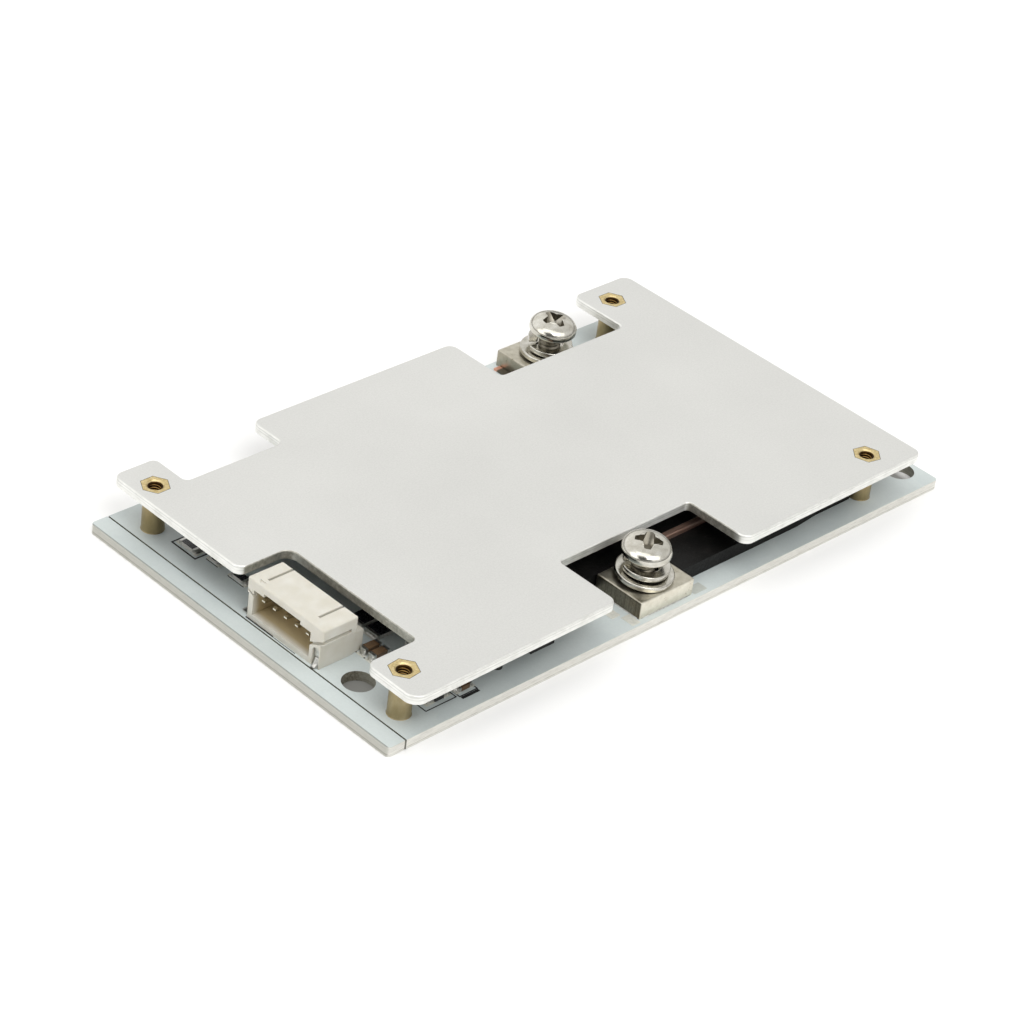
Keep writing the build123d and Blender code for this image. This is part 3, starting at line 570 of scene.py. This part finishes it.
# painted shadow: the thick dark bar at x 3.9 along the connector's foot stands for the shadow gap under its front;
# the thinner bar below it and the frames are print
bar(ink_and_shadow, (3.90, 30.2), (3.90, 36.2), 0.26)
bar(ink_and_shadow, (3.84, 25.0), (3.84, 30.0), 0.10)
frame_of(ink_and_shadow, 7.15, 52.3, 10.1, 57.9, 0.28)
frame_of(ink_and_shadow, 16.25, 20.55, 22.95, 23.45, 0.2, 1.6)
frame_of(ink_and_shadow, 17.0, 24.05, 22.95, 27.15, 0.2, 1.6)
bar(ink_and_shadow, (11.65, 16.75), (11.65, 20.8), 0.26)
bar(ink_and_shadow, (12.0, 20.8), (15.3, 20.8), 0.2)
frame_of(ink_and_shadow, 10.35, 3.3, 16.4, 6.5, 0.2)
frame_of(ink_and_shadow, 16.85, 3.0, 20.4, 5.75, 0.2)
bar(ink_and_shadow, (17.15, 2.58), (20.1, 2.58), 0.55)
for i in range(3):
    frame_of(ink_and_shadow, 21.0, 44.0 + 3.65 * i - 1.72, 28.0, 44.0 + 3.65 * i + 1.72, 0.16, 1.6)
frame_of(ink_and_shadow, 8.6, 48.7, 10.5, 51.3, 0.15)
frame_of(ink_and_shadow, 8.45, 42.4, 10.55, 46.0, 0.15)
frame_of(ink_and_shadow, 10.9, 45.3, 13.1, 49.3, 0.15)
frame_of(ink_and_shadow, 42.4, 28.2, 53.6, 37.8, 0.16)
for x, y, hx, hy in [(38.0, 29.0, 0.9, 1.3), (38.0, 33.0, 0.9, 1.3), (38.0, 37.0, 0.9, 1.3), (58.0, 30.0, 0.9, 1.3),
                     (58.0, 36.0, 0.9, 1.3), (27.0, 22.0, 0.9, 1.3), (27.0, 26.0, 0.9, 1.3), (27.0, 30.0, 0.9, 1.3),
                     (27.0, 34.0, 0.9, 1.3), (44.0, 26.5, 1.95, 1.1), (52.0, 26.5, 1.95, 1.1),
                     (31.0, 24.0, 1.1, 1.95), (31.0, 29.0, 1.1, 1.95)]:
    frame_of(ink_and_shadow, x - hx, y - hy, x + hx, y + hy, 0.14)
new_piece("silkscreen_and_shadow_bar", ink_and_shadow, "board_laminate", INK_AND_SHADOW)

# tinned pads on the board
pads = bmesh.new()


def pad(x, y, w, l, r=0.15, h=0.05):
    """A rounded tinned pad, slightly crowned."""
    pts = []
    for cx, cy, a0 in ((x + w / 2 - r, y + l / 2 - r, 0), (x - w / 2 + r, y + l / 2 - r, 90),
                       (x - w / 2 + r, y - l / 2 + r, 180), (x + w / 2 - r, y - l / 2 + r, 270)):
        for k in range(4):
            t = math.radians(a0 + k * 30)
            pts.append((cx + r * math.cos(t), cy + r * math.sin(t)))
    lo = [pads.verts.new(P(px, py, Z0)) for px, py in pts]
    mid = [pads.verts.new(P(px, py, Z0 + h * 0.6)) for px, py in pts]
    s = 1 - 0.12 / max(min(w, l), 0.3)
    hi = [pads.verts.new(P(x + (px - x) * s, y + (py - y) * s, Z0 + h)) for px, py in pts]
    n = len(pts)
    pads.faces.new(list(reversed(lo)))
    pads.faces.new(hi)
    for a, b in ((lo, mid), (mid, hi)):
        for i in range(n):
            pads.faces.new((a[i], a[(i + 1) % n], b[(i + 1) % n], b[i]))


chips = [(19.5, 21.9 + 3.65 * i, 0, 6.3, 3.0, 0.65, 0.55) for i in range(2)] + [
    (24.5, 44.0, 0, 6.3, 3.0, 0.65, 0.55), (24.5, 47.65, 0, 6.3, 3.0, 0.65, 0.55), (24.5, 51.3, 0, 6.3, 3.0, 0.65, 0.55),
    (8.75, 55.2, 90, 3.6, 1.9, 0.7, 0.45), (9.5, 50.0, 90, 2.0, 1.25, 0.5, 0.35),
    (9.5, 44.2, 90, 3.0, 1.5, 0.6, 0.45), (9.9, 40.6, 90, 2.0, 1.25, 0.5, 0.35),
    (38.0, 29.0, 90, 2.0, 1.25, 0.5, 0.35), (38.0, 33.0, 90, 2.0, 1.25, 0.5, 0.35),
    (38.0, 37.0, 90, 2.0, 1.25, 0.5, 0.35), (58.0, 30.0, 90, 2.0, 1.25, 0.5, 0.35),
    (58.0, 36.0, 90, 2.0, 1.25, 0.5, 0.35), (27.0, 22.0, 90, 2.0, 1.25, 0.5, 0.35),
    (27.0, 26.0, 90, 2.0, 1.25, 0.5, 0.35), (27.0, 30.0, 90, 2.0, 1.25, 0.5, 0.35),
    (27.0, 34.0, 90, 2.0, 1.25, 0.5, 0.35),
    (13.7, 19.15, 0, 3.2, 1.3, 1.1, 0.5), (13.7, 17.3, 0, 3.2, 1.3, 1.1, 0.5),
    (18.75, 4.45, 0, 2.6, 1.35, 0.8, 0.45), (44.0, 26.5, 0, 3.2, 1.6, 1.2, 0.5),
    (52.0, 26.5, 0, 3.2, 1.6, 1.2, 0.5), (31.0, 24.0, 90, 3.2, 1.6, 1.2, 0.5),
    (31.0, 29.0, 90, 3.2, 1.6, 1.2, 0.5),
]
fil = bmesh.new()


def ridge(bm, base, top, outs):
    """A solder wedge: base line on the board pushed out by outs, top line on the part."""
    n = 5
    rows = []
    for k in range(n + 1):
        t = k / n
        # concave run from the pad up the part's end
        out = (1 - t) ** 1.8
        up = t ** 1.25
        row = []
        for (bx, by, bz), (tx, ty, tz), (ox, oy) in zip(base, top, outs):
            row.append(bm.verts.new(P(bx + (tx - bx) * up + ox * out, by + (ty - by) * up + oy * out, bz + (tz - bz) * up)))
        rows.append(row)
    back_lo = [bm.verts.new(P(*b)) for b in base]
    for a, b in zip(rows, rows[1:]):
        for i in range(len(base) - 1):
            bm.faces.new((a[i], a[i + 1], b[i + 1], b[i]))
    # underside and the face against the part
    for i in range(len(base) - 1):
        bm.faces.new((rows[0][i + 1], rows[0][i], back_lo[i], back_lo[i + 1]))
        bm.faces.new((back_lo[i + 1], back_lo[i], rows[-1][i], rows[-1][i + 1]))
    for i in (0, len(base) - 1):
        loop = [r[i] for r in rows] + [back_lo[i]]
        bm.faces.new(loop if i == 0 else list(reversed(loop)))


def fillet_at(x, y, turn, width, height, out):
    """A solder fillet standing against a face whose outward direction is turn degrees."""
    c, s = math.cos(math.radians(turn)), math.sin(math.radians(turn))
    base, top, outs = [], [], []
    n = 6
    for i in range(n + 1):
        t = i / n
        q = (t - 0.5) * width
        bulge = math.sqrt(max(0.0, 1 - (2 * t - 1) ** 4)) * 0.85 + 0.15
        base.append((x - s * q, y + c * q, Z0))
        top.append((x - s * q, y + c * q, Z0 + height * (0.85 + 0.15 * bulge)))
        outs.append((c * out * bulge, s * out * bulge))
    ridge(fil, base, top, outs)


def block_joint(x, y, turn, width):
    fillet_at(x, y, turn, width, 0.13, 0.14)


for x, y, turn, l, w, h, e in chips:
    c, s = math.cos(math.radians(turn)), math.sin(math.radians(turn))
    for k in (-1, 1):
        ex, ey = x + k * c * (l / 2), y + k * s * (l / 2)
        px, py = x + k * c * (l / 2 + 0.2), y + k * s * (l / 2 + 0.2)
        if turn == 0:
            pad(px, py, 0.95, w + 0.3)
        else:
            pad(px, py, w + 0.3, 0.95)
        fillet_at(ex, ey, turn + (0 if k > 0 else 180), w * 0.92, h * 0.72, 0.42)

# pads under the diode, and the tinned patches near the terminal
pad(12.1, 4.9, 1.9, 1.7)
pad(15.5, 4.9, 1.5, 1.7)
pad(50.6, 4.7, 1.9, 2.2)
pad(51.95, 1.8, 1.8, 2.6)
pad(66.75, 1.75, 2.9, 2.0)
new_piece("solder_pads", pads, "tinned_metal", PAD_TIN, smooth=False)

# diode and small transistor feet
for x, k in ((11.9, 180), (15.7, 0)):
    fillet_at(x, 4.9, k, 1.1, 0.4, 0.4)
for x, y, turn in [(20.4, 17.3, 90), (12.0, 47.3, 90), (31.0, 35.0, 0), (31.0, 39.5, 0), (62.0, 26.0, 0)]:
    c, s = math.cos(math.radians(turn)), math.sin(math.radians(turn))
    for lx, ly, d in ((-0.95, -1.2, -90), (0.95, -1.2, -90), (0, 1.2, 90)):
        fillet_at(x + c * lx - s * ly, y + s * lx + c * ly, turn + d, 0.42, 0.3, 0.35)
# connector: pin feet, near and far holding tabs
for i in range(5):
    fillet_at(13.9, 28.75 + (i - 2) * 2.5, 0, 0.9, 0.32, 0.5)
fillet_at(4.45, 20.85, 180, 1.3, 1.7, 0.95)
fillet_at(5.6, 37.6, 90, 2.3, 0.28, 0.6)
# terminal blocks: a thin line of solder all round
for bx, by in ((59.05, 6.0), (92.7, 63.4)):
    block_joint(bx + 6.0, by, 0, 8.9)
    block_joint(bx - 6.0, by, 180, 8.9)
    block_joint(bx, by + 4.9, 90, 11.1)
    block_joint(bx, by - 4.9, -90, 11.1)
# protection chip feet
for side in (-1, 1):
    for i in range(14):
        fillet_at(48.0 + (i - 6.5) * 0.65, 33.0 + side * 3.9, 90 * side, 0.32, 0.14, 0.25)
solder = new_piece("solder_fillets", fil, "tinned_metal", smooth=True)


def lathe(bm, cx, cy, profile, n=40, close=True):
    """A ring turned round a vertical line; profile is a closed list of (r, z) in mm."""
    rows = []
    for k in range(n):
        a = 2 * math.pi * k / n
        rows.append([bm.verts.new(P(cx + r * math.cos(a), cy + r * math.sin(a), z)) for r, z in profile])
    m = len(profile)
    for k in range(n):
        A, B = rows[k], rows[(k + 1) % n]
        for i in range(m if close else m - 1):
            j = (i + 1) % m
            bm.faces.new((A[i], B[i], B[j], A[j]))


# solder collars where the standoffs meet the board, and rings on the underside
collars = bmesh.new()
spots = [(6.9, 5.4), (7.1, 62.6), (109.3, 4.7), (109.4, 63.7)]
for x, y in spots:
    lathe(collars, x, y, [(1.83, 1.755), (1.93, 1.755), (1.90, 1.79), (1.87, 1.83), (1.83, 1.85)])
    lathe(collars, x, y, [(1.07, 0.14), (1.12, 0.05), (1.3, 0.02), (1.47, 0.05), (1.49, 0.14)])
new_piece("standoff_solder", collars, "standoff_brass", smooth=True)


def coil_ridge(bm, origin, ax, side, r_root, r_crest, pitch, z_a, z_b, hand=1, outward=True, fade=0.6, n=28, width=None):
    """A thread as one triangular ridge wound on a core (mm along the axis)."""
    ax = Vector(ax).normalized()
    sx = (Vector(side) - ax * Vector(side).dot(ax)).normalized()
    sy = ax.cross(sx)
    turns = (z_b - z_a) / pitch
    steps = int(turns * n)
    w = (width or pitch * 0.88) / 2
    rings = []
    for k in range(steps + 1):
        t = k / steps
        z = z_a + (z_b - z_a) * t
        a = hand * 2 * math.pi * turns * t
        f = min(1.0, (z - z_a) / fade, (z_b - z) / fade)
        f = max(f, 0.0)
        crest = r_root + (r_crest - r_root) * f
        d = sx * math.cos(a) + sy * math.sin(a)
        sink = -0.03 if outward else 0.03
        ring = []
        for r, dz in ((r_root + sink, -w), (r_root, -w), (crest, -w * 0.16), (crest, w * 0.16), (r_root, w), (r_root + sink, w)):
            ring.append(bm.verts.new(origin + (d * r + ax * (z + dz)) / 1000))
        rings.append(ring)
    m = len(rings[0])
    for A, B in zip(rings, rings[1:]):
        for i in range(m):
            j = (i + 1) % m
            bm.faces.new((A[i], B[i], B[j], A[j]))
    bm.faces.new(list(reversed(rings[0])))
    bm.faces.new(rings[-1])


for tag, tip, lean in (("battery", (58.76, 6.81, 4.21), (-0.0232, -0.0857, 0.9960)),
                       ("load", (93.31, 62.81, 4.46), (0.0040, -0.0895, 0.9960))):
    th = bmesh.new()
    coil_ridge(th, P(*tip), lean, (1, 0, 0), 1.62, 1.90, 0.7, 0.45, 4.55, n=40)
    bmesh.ops.recalc_face_normals(th, faces=th.faces)
    new_piece(tag + "_screw_thread", th, "screw_steel", smooth=False)

bores = bmesh.new()
for x, y in spots:
    coil_ridge(bores, P(x, y, 0), (0, 0, 1), (1, 0, 0), 1.05, 0.90, 0.45, 0.45, 9.35, outward=False, n=22, fade=0.4, width=0.26)
bmesh.ops.recalc_face_normals(bores, faces=bores.faces)
new_piece("standoff_threads", bores, "standoff_brass")

# painted shadow: a thin dark ring round each pressed-in hexagon stands for the shadow in its press-fit gap
gap = bmesh.new()
for (x, y), turn in zip(spots, (6.0, 1.0, -12.0, 0.0)):
    r_in, r_out = 4.2 / math.sqrt(3) - 0.02, 4.2 / math.sqrt(3) + 0.07
    inner, outer = [], []
    for k in range(6):
        a = math.radians(turn + 60 * k)
        inner.append((x + r_in * math.cos(a), y + r_in * math.sin(a)))
        outer.append((x + r_out * math.cos(a), y + r_out * math.sin(a)))
    for k in range(6):
        j = (k + 1) % 6
        pts = [inner[k], outer[k], outer[j], inner[j]]
        prism(gap, pts, ZTOP - 0.002, ZTOP + 0.004)
new_piece("press_fit_gap_shadow", gap, "spreader_aluminium", INK_AND_SHADOW)

# ------------------------------------------------------------------- stage
fm = Mat("floor_paper_with_painted_shade")
fn = fm.noise(0.02, 2.0)
fx, fy, fz = fm.xyz()
# painted shade: the floor under the board's footprint is painted dark grey
shaded_inside = fm.math("MULTIPLY", fm.vary(fm.math("ABSOLUTE", fx), 1.0, 0.0, 59.5, 61.0),
                 fm.vary(fm.math("ABSOLUTE", fy), 1.0, 0.0, 32.0, 33.3))
paper = fm.ramp(fn, [(0.3, (0.93, 0.93, 0.93, 1)), (0.7, (0.96, 0.96, 0.957, 1))])
fm.put(color=fm.mix(shaded_inside, paper, (0.30, 0.30, 0.285, 1)), rough=0.9, spec=0.1)
fb = bmesh.new()
bmesh.ops.create_grid(fb, x_segments=2, y_segments=2, size=4.0)
fme = bpy.data.meshes.new("studio_floor")
fb.to_mesh(fme)
fb.free()
fme.materials.append(fm.m)
floor = bpy.data.objects.new("studio_floor", fme)
floor.location = (0, 0, -0.00003)
bpy.context.scene.collection.objects.link(floor)

# camera: a long lens above the near left corner
R = ((0.71423319, -0.69022463, 0.11602117), (-0.31550488, -0.46547697, -0.82691467), (0.62476205, 0.55400466, -0.55022834))
cam_d = bpy.data.cameras.new("studio_camera")
cam_d.sensor_width = 36
cam_d.lens = 3171.547 * 36 / 1024
cam_d.clip_start, cam_d.clip_end = 0.01, 30
cam = bpy.data.objects.new("studio_camera", cam_d)
bpy.context.scene.collection.objects.link(cam)
rot = Matrix((Vector(R[0]), -Vector(R[1]), -Vector(R[2]))).transposed()
cam.matrix_world = Matrix.Translation(Vector((-0.322015, -0.281354, 0.281017))) @ rot.to_4x4()
bpy.context.scene.camera = cam

# world: a pale studio tent with a darker side behind the camera
world = bpy.data.worlds.new("studio")
bpy.context.scene.world = world
world.use_nodes = True
wt = world.node_tree
wt.nodes.clear()
wo = wt.nodes.new("ShaderNodeOutputWorld")
bg = wt.nodes.new("ShaderNodeBackground")
wt.links.new(bg.outputs[0], wo.inputs[0])
tc = wt.nodes.new("ShaderNodeTexCoord")


def wdot(v):
    n = wt.nodes.new("ShaderNodeVectorMath")
    n.operation = "DOT_PRODUCT"
    wt.links.new(tc.outputs["Generated"], n.inputs[0])
    n.inputs[1].default_value = tuple(v)
    return n.outputs["Value"]


def wmath(op, a, b=None, clamp=False):
    n = wt.nodes.new("ShaderNodeMath")
    n.operation = op
    n.use_clamp = clamp
    for i, v in enumerate((a, b)):
        if v is None:
            continue
        if isinstance(v, (int, float)):
            n.inputs[i].default_value = v
        else:
            wt.links.new(v, n.inputs[i])
    return n.outputs[0]


def wrange(v, a, b, lo, hi):
    n = wt.nodes.new("ShaderNodeMapRange")
    n.interpolation_type = "SMOOTHSTEP"
    for k, q in (("From Min", a), ("From Max", b), ("To Min", lo), ("To Max", hi)):
        n.inputs[k].default_value = q
    wt.links.new(v, n.inputs["Value"])
    return n.outputs[0]


back = -Vector(R[2])          # from the object to the camera
right = Vector(R[0])
up = -Vector(R[1])
ff, rr, uu = wdot(back), wdot(right), wdot(up)
away = Vector((-0.12, 0.80, 0.58)).normalized()
front = wrange(ff, 0.02, 0.12, 0.0, 1.0)
fd = wmath("MAXIMUM", ff, 0.02)
ru, ru2 = wmath("DIVIDE", rr, fd), wmath("DIVIDE", uu, fd)
dark = wmath("MULTIPLY", wmath("MULTIPLY", wrange(wmath("ABSOLUTE", ru), 0.40, 0.55, 1.0, 0.0),
                               wrange(wmath("ABSOLUTE", ru2), 0.26, 0.40, 1.0, 0.0)), front)


def softbox(r0, r1, u0, u1, soft=0.12):
    a = wmath("MULTIPLY", wrange(ru, r0 - soft, r0, 0.0, 1.0), wrange(ru, r1, r1 + soft, 1.0, 0.0))
    b = wmath("MULTIPLY", wrange(ru2, u0 - soft, u0, 0.0, 1.0), wrange(ru2, u1, u1 + soft, 1.0, 0.0))
    return wmath("MULTIPLY", wmath("MULTIPLY", a, b), front)


boxes = wmath("ADD", softbox(-1.9, -0.62, -0.1, 0.9), softbox(0.62, 1.5, 0.0, 0.9))
boxes = wmath("ADD", boxes, softbox(-0.5, 0.5, 0.55, 1.4))
wz = wdot((0, 0, 1))
pale = wrange(wdot(away), 0.1, 0.95, 0.0, 0.30)
low = wrange(wz, 0.02, 0.34, 0.30, 0.985)
base = wmath("MULTIPLY", low, wmath("ADD", wrange(wz, 0.25, 1.0, 0.86, 0.76), pale))
level = wmath("ADD", wmath("MULTIPLY", base, wmath("SUBTRACT", 1.0, wmath("MULTIPLY", dark, 0.86))),
              wmath("MULTIPLY", boxes, 1.0))
bg.inputs["Color"].default_value = (1.0, 0.995, 0.98, 1)
wt.links.new(level, bg.inputs["Strength"])


def area(name, where, size, power, aim=(0, 0, 0), tint=(1, 1, 1)):
    d = bpy.data.lights.new(name, "AREA")
    d.shape = "RECTANGLE"
    d.size, d.size_y = size
    d.energy = power
    d.color = tint
    ob = bpy.data.objects.new(name, d)
    ob.location = where
    ob.rotation_euler = (Vector(aim) - Vector(where)).to_track_quat("-Z", "Y").to_euler()
    bpy.context.scene.collection.objects.link(ob)
    return ob


area("key_softbox", (-0.32, -0.92, 1.08), (0.75, 0.75), 6.2)

sc = bpy.context.scene
sc.view_settings.view_transform = "Standard"
sc.view_settings.look = "None"
sc.view_settings.exposure = 0.0
sc.view_settings.gamma = 1.0
